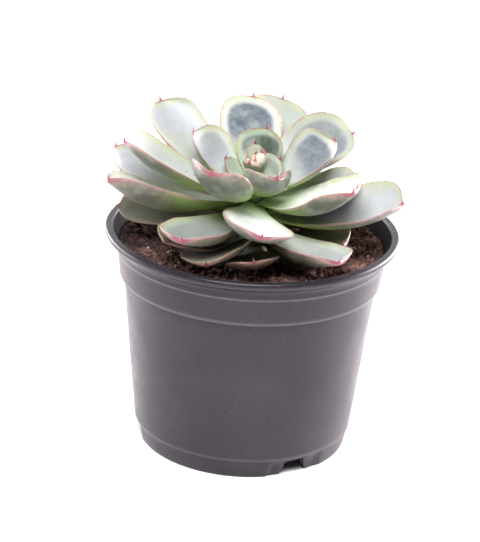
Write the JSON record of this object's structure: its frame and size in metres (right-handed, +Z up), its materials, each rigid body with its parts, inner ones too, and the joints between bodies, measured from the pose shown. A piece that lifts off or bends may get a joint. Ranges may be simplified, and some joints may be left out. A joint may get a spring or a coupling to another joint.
{
  "type": "potted succulent",
  "caption": "Rosette succulent with thick farina-coated spoon leaves on a short stem, growing in soil in a round plastic nursery pot with a flared rim.",
  "frame": {"origin": "on the ground on the pot's axis, which is the bottom centre of the whole plant's bounding box to within a millimetre", "axes": "+Z up along the pot's axis and the stem, -Y to the front, +X to the right seen from the front"},
  "size_m": [0.1205, 0.12, 0.1363],
  "materials": {
    "pot_plastic": "satin",
    "peat_soil": "matte",
    "stem_skin": "matte",
    "heart_leaf_skin": "satin",
    "leaf_skin": "satin",
    "old_leaf_skin": "satin",
    "bud_skin": "satin"
  },
  "bodies": {
    "root": {"pot": "pot_plastic", "soil": "peat_soil", "stem": "stem_skin", "bud": "bud_skin", "leaf_01": "heart_leaf_skin", "leaf_02": "heart_leaf_skin", "leaf_03": "heart_leaf_skin", "leaf_04": "heart_leaf_skin", "leaf_05": "heart_leaf_skin", "leaf_06": "heart_leaf_skin", "leaf_07": "leaf_skin", "leaf_08": "leaf_skin", "leaf_09": "leaf_skin", "leaf_10": "leaf_skin", "leaf_11": "leaf_skin", "leaf_12": "leaf_skin", "leaf_13": "leaf_skin", "leaf_14": "leaf_skin", "leaf_15": "leaf_skin", "leaf_16": "leaf_skin", "leaf_17": "leaf_skin", "leaf_18": "leaf_skin", "leaf_19": "leaf_skin", "leaf_20": "leaf_skin", "leaf_21": "leaf_skin", "leaf_22": "leaf_skin", "leaf_23": "leaf_skin", "leaf_24": "leaf_skin", "leaf_25": "leaf_skin", "leaf_26": "leaf_skin", "leaf_27": "old_leaf_skin", "leaf_28": "old_leaf_skin", "leaf_29": "old_leaf_skin", "leaf_30": "old_leaf_skin", "leaf_31": "old_leaf_skin", "leaf_32": "old_leaf_skin", "leaf_33": "old_leaf_skin", "leaf_34": "old_leaf_skin"}
  },
  "joints": []
}
